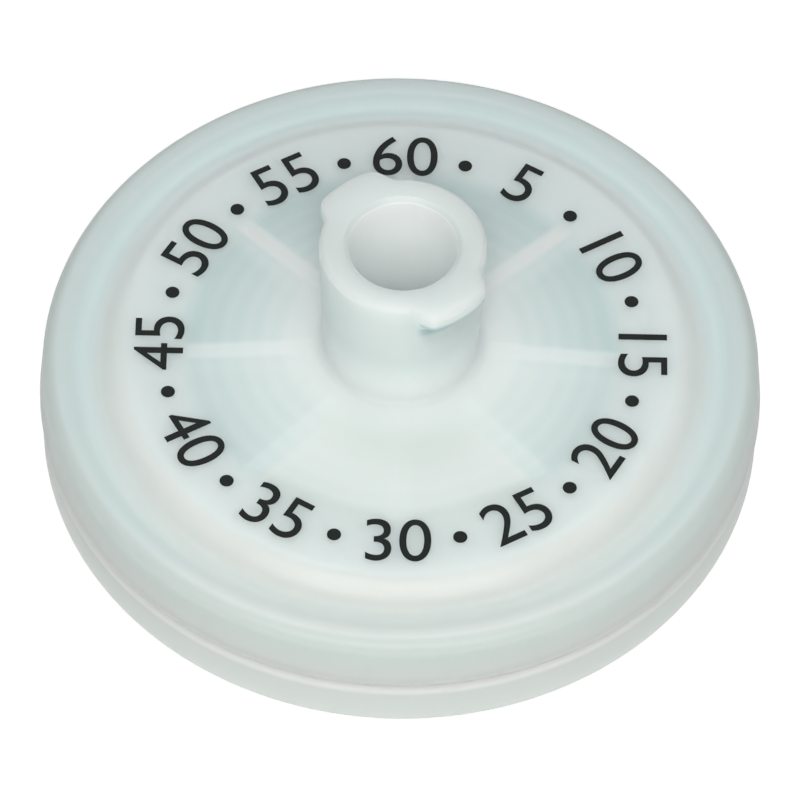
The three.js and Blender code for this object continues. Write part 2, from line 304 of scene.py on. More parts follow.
# %% The star's colour
RING_SHOW_PITCH = 0.8
RING_SHADE = 0.07
RING_IN_LIGHT = 0.03
SECTOR_FADE_OUT = (3.2, 8.6)
CORE_SUNK, CORE_EDGE, CORE_SHARE = 0.45, (0.2, 0.5), 0.65
GLOW_SUNK, GLOW_EDGE, GLOW_SHARE = 0.95, (0.2, 1.1), 0.35
ARM_TIP_FADE = (8.6, 9.8)
ARM_FRONT_FADE, ARM_LOST_IN_FRONT = (-2.5, 4), 0.8
FRONT_HALF_EDGE = (0.8, 1.5)
FRONT_FAN_EDGE, FAN_LIGHT = (0.7, 1.4), 0.66
LEFT_LIGHT, RIGHT_LIGHT_MORE, LEFT_TO_RIGHT = 0.22, 0.14, (-6, 6)
LIGHT_THINNING, LIGHT_THINNED = (5.5, 9), 0.3


def star_colour(x, y, radius):
    """Clear sectors and pale arms, with painted light from the front that grows from facet to facet.
    """
    forward = 0 - y
    rings = (radius * (math.tau / RING_SHOW_PITCH)).sine()
    outward = radius.step(*SECTOR_FADE_OUT) + RING_SHADE * rings
    core = 1 - distance_to_arms(x, y, CORE_SUNK).step(*CORE_EDGE)
    glow = 1 - distance_to_arms(x, y, GLOW_SUNK).step(*GLOW_EDGE)
    arm = (CORE_SHARE * core + GLOW_SHARE * glow) * (1 - radius.step(*ARM_TIP_FADE))
    arm = arm * (1 - ARM_LOST_IN_FRONT * forward.step(*ARM_FRONT_FADE))
    clear = arm.mix(outward.mix(SECTOR_INNER, SECTOR_OUTER), ARM_COLOUR)
    # Painted light from the front: weak over the front half, weaker on the left, strongest in the
    # fan of the two foremost facets, and thinning outwards.
    front_half = forward.step(*FRONT_HALF_EDGE)
    front_fan = (forward - x.absolute()).step(*FRONT_FAN_EDGE)
    half_light = LEFT_LIGHT + RIGHT_LIGHT_MORE * x.step(*LEFT_TO_RIGHT)
    front_light = half_light * front_half + FAN_LIGHT * front_fan
    front_light = front_light * (1 - LIGHT_THINNED * radius.step(*LIGHT_THINNING))
    return (front_light - RING_IN_LIGHT * rings).mix(clear, STAR_FRONT_LIGHT)


# %% [markdown]
# From the star outwards the zones follow each other by radius. Each row below says where a zone
# starts to show, where it is complete, and its colour. The step and the hollow take painted light
# bit by bit from back to front, and the rim only at the very front. The rim's edge is painted
# darker, a painted shade against the highlight on its round.

# %% The colour of the face and rim
BACK_TO_FRONT = (-4, 13)
FOREMOST = (8, 14)


def face_colour(x, y, radius):
    forward = 0 - y
    front = forward.step(*BACK_TO_FRONT)
    # Painted light: the step and the hollow grow paler from back to front, the rim only at the very
    # front.
    step = front.mix(STEP_COLOUR, STEP_FRONT_LIGHT)
    hollow = front.mix(HOLLOW_COLOUR, HOLLOW_FRONT_LIGHT)
    rim = forward.step(*FOREMOST).mix(RIM_COLOUR, RIM_FRONT_LIGHT)
    zones = [
        (8.3, 9.3, BAND_COLOUR),
        (10.9, 11.5, step),
        (11.9, 12.5, hollow),
        (12.6, 13.4, rim),
        # painted shade on the rim's rounded edge
        (13.7, 14.1, EDGE_PAINTED_SHADE),
    ]
    shade = star_colour(x, y, radius)
    for start, end, zone in zones:
        shade = radius.step(start, end).mix(shade, zone)
    return shade


# %% [markdown]
# A shadow is painted under the lugs: a dark line on the hub just under each lug, and along the
# lug's own lower edge. Depths are counted down from the top of the hub.

# %% The painted shadow under the lugs
LUG_DIRECTION = math.radians(-52)
BESIDE_LUG = (0.87, 0.96)
LINE_TOP, LINE_FOOT = (1.1, 1.3), (1.6, 1.95)
LUG_TIP = (3.45, 3.6)
LUG_LOWER_EDGE, BELOW_LUGS = (0.5, 0.72), (2.75, 3.75)


def painted_lug_shadow(x, y, z, radius):
    """1 in the painted shadow under each lug, and 0 elsewhere."""
    along = x * math.cos(LUG_DIRECTION) + y * math.sin(LUG_DIRECTION)
    beside = (along.absolute() / radius).step(*BESIDE_LUG)
    down = HUB_TOP_Z - z
    on_hub = beside * down.step(*LINE_TOP) * (1 - down.step(*LINE_FOOT))
    on_lug = radius.step(*LUG_TIP) * down.step(*LUG_LOWER_EDGE) * (1 - down.step(*BELOW_LUGS))
    return on_hub.greater(on_lug)


# %% [markdown]
# The rest goes by height: the side darkens below the rim and has the pale weld halfway down, and
# the hub grows out of a white root, which is painted light against the shade at the hub's foot. The
# socket is painted the whitest place, as painted light: its wall is lit from both sides.

# %% The colour of the whole shell
SIDE = (SEAM_Z + 0.6, CREST_Z - 0.4)
SEAM_LINE, OUTER_SKIN = (0.2, 0.6), (13.9, 14.2)
ROOT, TOWER, HUB_REACH = (3.4, 5.2), (FACE_Z + 1.0, FACE_Z + 3.5), (4.2, 6.1)
SOCKET_WALL, SOCKET_DEPTH = (2.14, 2.20), (SEAM_Z, SEAM_Z + 0.5)


def plastic_colour(x, y, z, radius):
    shade = z.step(*SIDE).mix(WALL_COLOUR, face_colour(x, y, radius))
    at_seam = (1 - (z - SEAM_Z).absolute().step(*SEAM_LINE)) * radius.step(*OUTER_SKIN)
    shade = at_seam.mix(shade, SEAM_COLOUR)
    # Painted light at the root of the hub, against the shade at its foot.
    root = radius.step(*ROOT).mix(ROOT_PAINTED_LIGHT, shade)
    tower = z.step(*TOWER).mix(root, HUB_COLOUR)
    shade = radius.step(*HUB_REACH).mix(tower, shade)
    # Painted shadow under the lugs.
    shade = painted_lug_shadow(x, y, z, radius).mix(shade, LUG_SHADOW_COLOUR)
    # Painted light in the socket.
    in_socket = (1 - radius.step(*SOCKET_WALL)) * z.step(*SOCKET_DEPTH)
    return in_socket.mix(shade, SOCKET_PAINTED_LIGHT)


# %% [markdown]
# The skin is satin and a little uneven. Its roughness follows the flow of the melt, a cloud of a
# few millimetres with a finer grain in it, and its bump has the very fine rings of a mould that
# was turned on a lathe.

# %% The finished plastic
TURNING_PITCH = 0.22
TURNING_DEPTH = 0.0008
GRAIN_DEPTH = 0.003


def polypropylene():
    material, shader = start_material("natural_polypropylene", {
        "IOR": 1.49,
        "Subsurface Weight": 1.0,
        "Subsurface Radius": (1.0, 1.0, 1.0),
        "Subsurface Scale": 3.0 * MM,
    })
    point, x, y, z = object_point(material)
    radius = (x * x + y * y).square_root()
    feed(shader, "Base Color", plastic_colour(x, y, z, radius))
    cloud = point.node("ShaderNodeTexNoise", {}, {"Vector": point, "Scale": 0.35, "Detail": 3.0})
    grain = point.node("ShaderNodeTexNoise", {}, {"Vector": point, "Scale": 2.5, "Detail": 4.0})
    feed(shader, "Roughness", 0.24 + 0.05 * grain + 0.06 * cloud)
    turning = (radius * (math.tau / TURNING_PITCH)).sine()
    height = TURNING_DEPTH * turning + GRAIN_DEPTH * grain
    bump = point.node("ShaderNodeBump", {}, {"Height": height, "Distance": 1 * MM, "Strength": 0.25})
    feed(shader, "Normal", bump)
    return material


shell_material = polypropylene()
print(len(shell_material.node_tree.nodes), "nodes in", shell_material.name)

# %% [markdown]
# ## Membrane and ink
#
# The membrane is a felt of fine fibres: dead white and matt. The ink is a thin, almost black film
# that dries a little uneven on the plastic, and duller than it.


# %% Membrane and ink
FIBRE_HEIGHT = 0.02


def membrane_felt():
    material, shader = start_material("membrane_felt", {"Roughness": 0.9})
    point, x, y, z = object_point(material)
    fibres = point.node("ShaderNodeTexNoise", {}, {"Vector": point, "Scale": 9.0, "Detail": 6.0})
    feed(shader, "Base Color", fibres.mix(colour(0.90, 0.90, 0.89), colour(0.95, 0.95, 0.94)))
    relief = {"Height": fibres, "Distance": FIBRE_HEIGHT * MM, "Strength": 1.0}
    bump = point.node("ShaderNodeBump", {}, relief)
    feed(shader, "Normal", bump)
    return material


def printing_ink():
    material, shader = start_material("printing_ink", {"IOR": 1.45, "Specular IOR Level": 0.3})
    point, x, y, z = object_point(material)
    film = point.node("ShaderNodeTexNoise", {}, {"Vector": point, "Scale": 4.0, "Detail": 5.0})
    feed(shader, "Base Color", film.mix(colour(0.004, 0.006, 0.005), colour(0.016, 0.021, 0.018)))
    feed(shader, "Roughness", 0.40 + 0.2 * film)
    return material


membrane_material = membrane_felt()
ink_material = printing_ink()
print("also made:", membrane_material.name, "and", ink_material.name)

# %% [markdown]
# ## Outlines for turning
#
# Almost everything on a filter is round, so each shell starts as an outline in the plane of radius
# and height. Straight stretches get points along them only where ribs will later be raised.


# %% Outline helpers
def arc(centre, radius, start, end, steps):
    turns = np.radians(np.linspace(start, end, steps + 1))
    return [(centre[0] + radius * math.cos(t), centre[1] + radius * math.sin(t)) for t in turns]


def line(start, end, steps):
    share = np.linspace(0, 1, steps + 1)[:, None]
    return [tuple(point) for point in (1 - share) * np.array(start) + share * np.array(end)]


def soft_step(start, end, steps):
    """A soft S between two points, level at both ends."""
    half = (start[0] + end[0]) / 2
    points = []
    for t in np.linspace(0, 1, steps + 1):
        across = (1 - t) ** 3 * start[0] + 3 * t * (1 - t) * half + t ** 3 * end[0]
        rise = t * t * (3 - 2 * t)
        points.append((across, start[1] + (end[1] - start[1]) * rise))
    return points


def groove_flank(seam, edge, steps):
    """From the sharp bottom of a groove out to where the side runs straight."""
    turns = np.linspace(0, math.pi / 2, steps + 1)
    return [(seam[0] + (edge[0] - seam[0]) * math.sin(t),
             seam[1] + (edge[1] - seam[1]) * t / turns[-1]) for t in turns]


def distinct(points):
    """The outline without points closer than a thousandth of a millimetre."""
    kept = [points[0]]
    for point in points[1:]:
        if math.dist(point, kept[-1]) > 0.001:
            kept.append(point)
    return kept


# %% [markdown]
# ## Turning an outline
#
# The outline is drawn as by hand: one vertex is extruded from point to point and joined up, and
# the spin tool sweeps it once round the axis. The doubles where the sweep meets itself are merged,
# and the normals are turned outwards.

# %% Turning
TURN_STEPS = 576
SAME_POINT = 1e-7
SMOOTH_ANGLE = math.radians(35)


def deselect_everything():
    if bpy.context.object and bpy.context.object.mode != "OBJECT":
        bpy.ops.object.mode_set(mode="OBJECT")
    bpy.ops.object.select_all(action="DESELECT")


def turn(name, outline):
    points = distinct(outline)
    deselect_everything()
    bpy.ops.mesh.primitive_plane_add(size=MM, location=(points[0][0] * MM, 0, points[0][1] * MM))
    piece = bpy.context.object
    piece.name = name
    bpy.ops.object.transform_apply(location=True, rotation=True, scale=True)
    bpy.ops.object.mode_set(mode="EDIT")
    bpy.ops.mesh.select_all(action="SELECT")
    bpy.ops.mesh.merge(type="CENTER")
    for here, there in zip(points, points[1:] + points[:1]):
        move = ((there[0] - here[0]) * MM, 0, (there[1] - here[1]) * MM)
        bpy.ops.mesh.extrude_vertices_move(TRANSFORM_OT_translate={"value": move})
    bpy.ops.mesh.select_all(action="SELECT")
    bpy.ops.mesh.remove_doubles(threshold=SAME_POINT)
    bpy.ops.mesh.spin(steps=TURN_STEPS, angle=math.tau, center=(0, 0, 0), axis=(0, 0, 1))
    bpy.ops.mesh.select_all(action="SELECT")
    bpy.ops.mesh.remove_doubles(threshold=SAME_POINT)
    bpy.ops.mesh.normals_make_consistent(inside=False)
    bpy.ops.object.mode_set(mode="OBJECT")
    bpy.ops.object.shade_smooth_by_angle(angle=SMOOTH_ANGLE)
    return piece


# %% [markdown]
# ## Pressing ribs into a turned shell
#
# Moulded ribs meet their wall with a small fillet, and a boolean would leave sharp seams there.
# The turned mesh is already fine, so the ribs are pressed out of it: each vertex moves to the
# rib's height if it lies within the rib's width, with a soft step at the flanks. NEAR is how
# close, in millimetres, a vertex has to be to a level to count as on it.


# %% Moving the vertices of a piece
NEAR = 0.01


def read_points(piece):
    points = np.empty(len(piece.data.vertices) * 3, dtype=np.float32)
    piece.data.vertices.foreach_get("co", points)
    return points.reshape(-1, 3).astype(float) / MM


def write_points(piece, points):
    piece.data.vertices.foreach_set("co", (points * MM).astype(np.float32).ravel())
    piece.data.update()


def soft(value, start, end):
    t = np.clip((value - start) / (end - start), 0, 1)
    return t * t * (3 - 2 * t)


def polar(points):
    return np.hypot(points[:, 0], points[:, 1]), np.arctan2(points[:, 1], points[:, 0])


def fold(angle, count, first=0.0):
    """The angle to the nearest of `count` directions evenly spaced about the axis."""
    pitch = math.tau / count
    return (angle - first + pitch / 2) % pitch - pitch / 2


# %% [markdown]
# ## The inlet shell
#
# One outline holds the plate, the skirt, the rim, the hollow ring round the printed face, the
# star's tent, the hub and the tapered Luer socket inside it. It is finest where the star will be
# pressed into it: on the face, and on the ceiling over the membrane. The shell keeps a hair's
# breadth above the membrane, as two surfaces in one place would look black through the plastic.

# %% Sizes of the inlet shell
SKIRT_WALL = 1.75
SKIRT_INNER_RADIUS = RIM_RADIUS - SKIRT_WALL
SEAL_WIDTH = 0.9
SEAL_INNER_RADIUS = MEMBRANE_RADIUS - SEAL_WIDTH
SEAM_DEPTH = 0.2
SEAM_RADIUS = RIM_RADIUS - SEAM_DEPTH
SEAM_FLANK_HEIGHT = 0.35
RIM_DRAFT = 0.15
RIM_TOP_RADIUS = RIM_RADIUS - RIM_DRAFT
RIM_ROUND = 0.6
CREST_FLAT = 0.15
CREST_RADIUS = RIM_TOP_RADIUS - RIM_ROUND - CREST_FLAT
HOLLOW_OUTER_SLOPE = 1.15
HOLLOW_RADIUS = CREST_RADIUS - HOLLOW_OUTER_SLOPE
HOLLOW_DEPTH = 0.6
HOLLOW_Z = FACE_Z - HOLLOW_DEPTH
HOLLOW_INNER_SLOPE = 1.58
FACE_RADIUS = HOLLOW_RADIUS - HOLLOW_INNER_SLOPE
PRINT_BAND = 2.35
STAR_RADIUS = FACE_RADIUS - PRINT_BAND
FACET_FALL = 0.5
PLATE = 1.6
CEILING_Z = FACE_Z - PLATE
HAIR = 0.015
GRIP_Z = MEMBRANE_TOP_Z + HAIR
print(f"star {STAR_RADIUS:.2f} mm, face {FACE_RADIUS:.2f} mm, crest {CREST_RADIUS:.2f} mm in radius")

# %% Sizes of the hub
SOCKET_MOUTH_RADIUS = 2.15
LUER_TAPER = 0.03
HUB_WALL = 1.15
HUB_RADIUS = SOCKET_MOUTH_RADIUS + HUB_WALL
HUB_DRAFT = 0.2
HUB_FOOT_RADIUS = HUB_RADIUS - HUB_DRAFT
HUB_FILLET = 0.3
EDGE_ROUND = 0.25
MOUTH_CHAMFER = 0.2
SOCKET_FLOOR = 0.55
SOCKET_FLOOR_Z = CEILING_Z + SOCKET_FLOOR
INLET_HOLE_RADIUS = 0.8
LUG_ROOT_THICKNESS = 1.35
print(f"hub {HUB_RADIUS:.2f} mm in radius, socket {HUB_TOP_Z - SOCKET_FLOOR_Z:.2f} mm deep")


# %% Inlet outline
def ceiling():
    """Outline under the plate, out to the seal, finest where the arms start and end."""
    radii = [INLET_HOLE_RADIUS, 1.5, *np.linspace(1.7, 1.9, 5), *np.linspace(2.4, 8.6, 10),
             *np.linspace(8.9, 9.5, 10), 10.4, SEAL_INNER_RADIUS]
    return [(radius, CEILING_Z) for radius in radii]


def inlet_outline():
    tent_foot = (STAR_RADIUS, FACE_Z)
    tent_top = (HUB_FOOT_RADIUS + HUB_FILLET, FACE_Z + FACET_FALL)
    lug_foot = (HUB_RADIUS - 0.03, HUB_TOP_Z - LUG_ROOT_THICKNESS)
    rim = (RIM_TOP_RADIUS - RIM_ROUND, CREST_Z - RIM_ROUND)
    hollow = (HOLLOW_RADIUS, HOLLOW_Z)
    edge = (HUB_RADIUS - EDGE_ROUND, HUB_TOP_Z - EDGE_ROUND)
    mouth = SOCKET_MOUTH_RADIUS + MOUTH_CHAMFER
    floor_radius = SOCKET_MOUTH_RADIUS - (HUB_TOP_Z - SOCKET_FLOOR_Z) * LUER_TAPER
    fillet = (HUB_FOOT_RADIUS + HUB_FILLET, FACE_Z + FACET_FALL + HUB_FILLET)
    hub_side = (HUB_FOOT_RADIUS + 0.04, fillet[1] + 1.4)
    outside_star = (STAR_RADIUS + 1.0, FACE_Z)
    round_star = (STAR_RADIUS + 0.4, FACE_Z)
    return [
        *ceiling(),
        (SEAL_INNER_RADIUS, GRIP_Z),
        (SKIRT_INNER_RADIUS, GRIP_Z),
        (SKIRT_INNER_RADIUS, SEAM_Z),
        *groove_flank((SEAM_RADIUS, SEAM_Z), (RIM_RADIUS, SEAM_Z + SEAM_FLANK_HEIGHT), 6),
        *arc(rim, RIM_ROUND, 0, 90, 14),
        *soft_step((CREST_RADIUS, CREST_Z), hollow, 10),
        *soft_step(hollow, (FACE_RADIUS, FACE_Z), 12),
        outside_star,
        *line(round_star, tent_foot, 4),
        *line(tent_foot, tent_top, 40),
        *arc(fillet, HUB_FILLET, 270, 180, 5),
        hub_side,
        *line(lug_foot, (HUB_RADIUS, edge[1]), 12),
        *arc(edge, EDGE_ROUND, 0, 90, 6),
        *line((edge[0], HUB_TOP_Z), (mouth, HUB_TOP_Z), 4),
        (SOCKET_MOUTH_RADIUS, HUB_TOP_Z - MOUTH_CHAMFER),
        (floor_radius, SOCKET_FLOOR_Z),
        (INLET_HOLE_RADIUS, SOCKET_FLOOR_Z),
    ]


# %% [markdown]
# The star is pressed into the turned shell from both sides. On the face it is a tent of eight flat
# facets, which the turned cone is moved onto. Under each edge between two facets an arm reaches
# from the ceiling down to the membrane: it tapers outwards and ends in a round tip.

# %% The star
STAR_COUNT = 8
ARM_START = 1.8
ARM_ROOT_WIDTH = 1.1
ARM_TIP_WIDTH = 0.9
ARM_TIP_TO_SEAL = 2.2
ARM_FLANK = 0.1
ARM_RISE = (1.65, 1.85)
TENT_MARGIN = 0.5


def fold_facets(piece):
    points = read_points(piece)
    radius, angle = polar(points)
    reach = math.cos(math.pi / STAR_COUNT)
    across = radius * np.cos(fold(angle, STAR_COUNT, math.pi / STAR_COUNT))
    flat = FACET_FALL * (STAR_RADIUS * reach - across) / ((STAR_RADIUS - HUB_RADIUS) * reach)
    cone = FACET_FALL * (STAR_RADIUS - radius) / (STAR_RADIUS - HUB_FOOT_RADIUS - HUB_FILLET)
    height = points[:, 2]
    on_tent = (radius < STAR_RADIUS + TENT_MARGIN) & (radius > HUB_FOOT_RADIUS - NEAR)
    on_tent &= (height > FACE_Z - NEAR) & (height < FACE_Z + FACET_FALL + NEAR)
    points[:, 2] += np.where(on_tent, np.maximum(flat, 0) - np.maximum(cone, 0), 0)
    write_points(piece, points)


def press_arms(piece):
    points = read_points(piece)
    radius, angle = polar(points)
    turned = fold(angle, STAR_COUNT)
    along = radius * np.cos(turned)
    across = np.abs(radius * np.sin(turned))
    tip_centre = SEAL_INNER_RADIUS - ARM_TIP_TO_SEAL - ARM_TIP_WIDTH / 2
    share = np.clip((along - ARM_START) / (tip_centre - ARM_START), 0, 1)
    half_width = (ARM_ROOT_WIDTH + (ARM_TIP_WIDTH - ARM_ROOT_WIDTH) * share) / 2
    outside = np.hypot(across, np.maximum(along - tip_centre, 0)) - half_width
    pressed = (1 - soft(outside, -ARM_FLANK / 2, ARM_FLANK / 2)) * soft(radius, *ARM_RISE)
    on_ceiling = np.abs(points[:, 2] - CEILING_Z) < NEAR
    points[:, 2] -= np.where(on_ceiling, (CEILING_Z - GRIP_Z) * pressed, 0)
    write_points(piece, points)


# %% [markdown]
# The two lugs that a Luer lock collar screws over are drawn out of the hub's upper edge in the
# same way: the side of the hub moves outwards where a lug is, and the slope under the lug comes
# from how that move grows with height.

# %% The lugs
LUG_REACH = 0.6
LUG_EDGE_THICKNESS = 0.75
LUG_SPAN = math.radians(50)
LUG_SIDE_SLOPE = 0.14
LUG_COUNT = 2


def draw_out_lugs(piece):
    points = read_points(piece)
    radius, angle = polar(points)
    mouth = SOCKET_MOUTH_RADIUS + MOUTH_CHAMFER
    slope = LUG_ROOT_THICKNESS - LUG_EDGE_THICKNESS
    turned = np.abs(fold(angle, LUG_COUNT, LUG_DIRECTION))
    side = LUG_SPAN / 2
    sideways = 1 - soft(turned, side - LUG_SIDE_SLOPE, side + LUG_SIDE_SLOPE)
    upward = np.clip((points[:, 2] - HUB_TOP_Z + LUG_ROOT_THICKNESS) / slope, 0, 1)
    outward = np.clip((radius - mouth) / (HUB_RADIUS - EDGE_ROUND - mouth), 0, 1)
    move = LUG_REACH * sideways * upward * outward
    points[:, :2] *= (1 + move / radius)[:, None]
    write_points(piece, points)


# %% Make the inlet shell
inlet = turn("inlet_moulding", inlet_outline())
fold_facets(inlet)
press_arms(inlet)
draw_out_lugs(inlet)
inlet.data.materials.append(shell_material)
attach(inlet, "root")
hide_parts("inlet_shell")
print("inlet moulding:", len(inlet.data.polygons), "faces")

# %% [markdown]
# ## The outlet shell
#
# The outline runs from the open end of the tip up its taper, over the boss, along the underside to
# the foot of the rim, up to the seam and over the plug and the rings that carry the membrane.

# %% Sizes of the outlet shell
OUTLET_RIM_HEIGHT = 2.5
FOOT_Z = SEAM_Z - OUTLET_RIM_HEIGHT
FOOT_ROUND = 0.5
DRAIN_DEPTH = 0.45
DRAIN_FLOOR_Z = SEAT_Z - DRAIN_DEPTH
OUTLET_PLATE = 1.25
UNDERSIDE_Z = DRAIN_FLOOR_Z - OUTLET_PLATE
MEMBRANE_GAP = 0.1
PLUG_RADIUS = MEMBRANE_RADIUS + MEMBRANE_GAP
OUTLET_RIM_WALL = 0.9
OUTLET_RIM_INNER_RADIUS = PLUG_RADIUS - OUTLET_RIM_WALL
TIP_LENGTH = 8.0
TIP_END_RADIUS = 1.98
TIP_BORE_RADIUS = 1.1
TIP_CHAMFER = 0.2
TIP_FILLET = 0.25
TIP_LEDGE = 0.01
BOSS_RADIUS = 3.1
BOSS_ROUND = 0.3
BOSS_FILLET = 0.3
RING_WIDTH = 0.7
RING_PITCH = 1.6
FIRST_RING_RADIUS = 2.4
print(f"underside at {UNDERSIDE_Z:.2f} mm, foot of the rim at {FOOT_Z:.2f} mm")


# %% Outlet outline
def support_rings():
    """Outline over the support rings, from the outermost ring inwards."""
    count = int((SEAL_INNER_RADIUS - RING_WIDTH - FIRST_RING_RADIUS) / RING_PITCH) + 1
    points = []
    for ring in reversed(range(count)):
        outer = FIRST_RING_RADIUS + ring * RING_PITCH + RING_WIDTH / 2
        inner = outer - RING_WIDTH
        top = SEAT_Z - HAIR
        points += [(outer, DRAIN_FLOOR_Z), (outer, top), (inner, top), (inner, DRAIN_FLOOR_Z)]
    return points


def outlet_outline():
    inner_foot = (OUTLET_RIM_INNER_RADIUS + FOOT_ROUND, FOOT_Z + FOOT_ROUND)
    outer_foot = (OUTLET_RIM_RADIUS - FOOT_ROUND, FOOT_Z + FOOT_ROUND)
    root_radius = TIP_END_RADIUS + TIP_LENGTH * LUER_TAPER
    tip_fillet = (root_radius + TIP_FILLET, TIP_LENGTH - TIP_FILLET)
    boss = (BOSS_RADIUS - BOSS_ROUND, TIP_LENGTH + BOSS_ROUND)
    boss_fillet = (BOSS_RADIUS + BOSS_FILLET, UNDERSIDE_Z - BOSS_FILLET)
    under = (OUTLET_RIM_INNER_RADIUS - FOOT_ROUND, UNDERSIDE_Z)
    rim_inside = (OUTLET_RIM_INNER_RADIUS, UNDERSIDE_Z - FOOT_ROUND)
    weld_z = SEAM_Z - HAIR
    groove_edge = (OUTLET_RIM_RADIUS, weld_z - SEAM_FLANK_HEIGHT)
    seat_z = SEAT_Z - HAIR
    return [
        (TIP_BORE_RADIUS, 0),
        (TIP_END_RADIUS - TIP_CHAMFER, 0),
        (TIP_END_RADIUS, TIP_CHAMFER),
        (root_radius - TIP_LEDGE, tip_fillet[1]),
        *arc(tip_fillet, TIP_FILLET, 180, 90, 5),
        *arc(boss, BOSS_ROUND, 270, 360, 6),
        *line((BOSS_RADIUS, boss[1]), (BOSS_RADIUS, boss_fillet[1]), 14),
        *arc(boss_fillet, BOSS_FILLET, 180, 90, 5),
        *line((boss_fillet[0], UNDERSIDE_Z), under, 30),
        *arc((under[0], UNDERSIDE_Z - FOOT_ROUND), FOOT_ROUND, 90, 0, 5),
        *line(rim_inside, (OUTLET_RIM_INNER_RADIUS, inner_foot[1]), 6),
        *arc(inner_foot, FOOT_ROUND, 180, 270, 6),
        *arc(outer_foot, FOOT_ROUND, 270, 360, 6),
        *reversed(groove_flank((SEAM_RADIUS, weld_z), groove_edge, 6)),
        (PLUG_RADIUS, weld_z),
        (PLUG_RADIUS, seat_z),
        (SEAL_INNER_RADIUS, seat_z),
        (SEAL_INNER_RADIUS, DRAIN_FLOOR_Z),
        *support_rings(),
        (TIP_BORE_RADIUS, DRAIN_FLOOR_Z),
    ]


# %% [markdown]
# Eight fins stiffen the underside. They are lowered from the plate in the way that the arms were
# pressed from the ceiling, and eight drains are cut through the support rings. The lower edge of a
# fin is the same curve as on the CAD node, a quadratic Bezier in radius.

# %% Fins and drains
FIN_COUNT = 8
FIN_WIDTH = 0.9
FIN_EDGE_HEIGHT = 0.5
FIN_INTO_WALLS = 0.2
FIN_INNER_FLANK, FIN_OUTER_FLANK = 0.05, 0.15
DRAIN_COUNT = 8
DRAIN_WIDTH = 0.9
DRAIN_FLANK = 0.1
SEAL_EDGE = 0.05


def along_bezier(radius, start, middle, end):
    """The parameter at which a quadratic Bezier reaches this radius."""
    a = start - 2 * middle + end
    b = 2 * (middle - start)
    c = start - np.clip(radius, start, end)
    return (-b + np.sqrt(b * b - 4 * a * c)) / (2 * a)


def bezier(t, start, middle, end):
    return (1 - t) ** 2 * start + 2 * t * (1 - t) * middle + t * t * end


def lower_fins(piece):
    points = read_points(piece)
    radius, angle = polar(points)
    turned = fold(angle, FIN_COUNT)
    along = radius * np.cos(turned)
    across = np.abs(radius * np.sin(turned))
    height = points[:, 2]
    under = (height < UNDERSIDE_Z + NEAR) & (radius > BOSS_RADIUS - NEAR)
    under &= (height > TIP_LENGTH + BOSS_ROUND) & (radius < OUTLET_RIM_INNER_RADIUS + NEAR)
    inner_end = BOSS_RADIUS - FIN_INTO_WALLS
    outer_end = OUTLET_RIM_INNER_RADIUS + FIN_INTO_WALLS
    t = along_bezier(along, inner_end, BOSS_RADIUS + FIN_WIDTH, outer_end)
    level = UNDERSIDE_Z - FIN_EDGE_HEIGHT
    edge = bezier(t, TIP_LENGTH + 2 * BOSS_ROUND, level, level)
    side = FIN_WIDTH / 2
    within = 1 - soft(across, side - FIN_INNER_FLANK, side + FIN_OUTER_FLANK)
    points[:, 2] += np.where(under, np.minimum(edge - height, 0) * within, 0)
    write_points(piece, points)


def cut_drains(piece):
    points = read_points(piece)
    radius, angle = polar(points)
    across = np.abs(radius * np.sin(fold(angle, DRAIN_COUNT)))
    ringed = (points[:, 2] > DRAIN_FLOOR_Z) & (radius < SEAL_INNER_RADIUS - SEAL_EDGE)
    within = 1 - soft(across, DRAIN_WIDTH / 2 - DRAIN_FLANK, DRAIN_WIDTH / 2)
    points[:, 2] += np.where(ringed, (DRAIN_FLOOR_Z - points[:, 2]) * within, 0)
    write_points(piece, points)


# %% Make the outlet shell
outlet = turn("outlet_moulding", outlet_outline())
lower_fins(outlet)
cut_drains(outlet)
outlet.data.materials.append(shell_material)
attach(outlet, "root")
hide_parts("outlet_shell")
print("outlet moulding:", len(outlet.data.polygons), "faces")

# %% [markdown]
# ## The membrane
#
# The membrane is a plain disc, hidden between the shells, so the CAD node can stay as it is. It
# only gets its felt.

# %% Give the membrane its felt
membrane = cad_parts["membrane"]
membrane.material_slots[0].material = membrane_material
print("membrane radius:", round(MEMBRANE_RADIUS, 2), "mm")

# %% [markdown]
# ## The printed ring
#
# Plain numbers run round the face as on a dial, with a dot between each two. Each number is a
# text object, turned into a mesh and laid on the face as a thin film of ink.

# %% Numbers and dots
NUMBERS = [str(5 * n) for n in range(1, 13)]
PRINT_RADIUS = 9.55
NUMBER_SIZE = 2.85
INK_THICKNESS = 0.012
DOT_RADIUS = 0.28
DOT_SIDES = 32
LOWER_MARKS = -0.1


def lay_on_face(mark, angle):
    """Put a mark on the ring, and turn the lower ones about, so that they too stand upright.

    The lower marks are those whose angle has a sine under LOWER_MARKS.
    """
    lower = math.sin(angle) < LOWER_MARKS
    place = (PRINT_RADIUS * math.cos(angle), PRINT_RADIUS * math.sin(angle), FACE_Z)
    mark.location = Vector(place) * MM
    mark.rotation_euler = (0, 0, angle + (math.pi / 2 if lower else -math.pi / 2))
    bpy.ops.object.transform_apply(location=True, rotation=True, scale=True)


def print_number(text, angle):
    deselect_everything()
    bpy.ops.object.text_add()
    mark = bpy.context.object
    mark.data.body = text
    mark.data.align_x = "CENTER"
    mark.data.align_y = "CENTER"
    mark.data.size = NUMBER_SIZE * MM
    mark.data.extrude = INK_THICKNESS * MM
    bpy.ops.object.convert(target="MESH")
    lay_on_face(mark, angle)
    return mark


def print_dot(angle):
    deselect_everything()
    depth = 2 * INK_THICKNESS * MM
    bpy.ops.mesh.primitive_cylinder_add(radius=DOT_RADIUS * MM, depth=depth, vertices=DOT_SIDES)
    mark = bpy.context.object
    lay_on_face(mark, angle)
    return mark


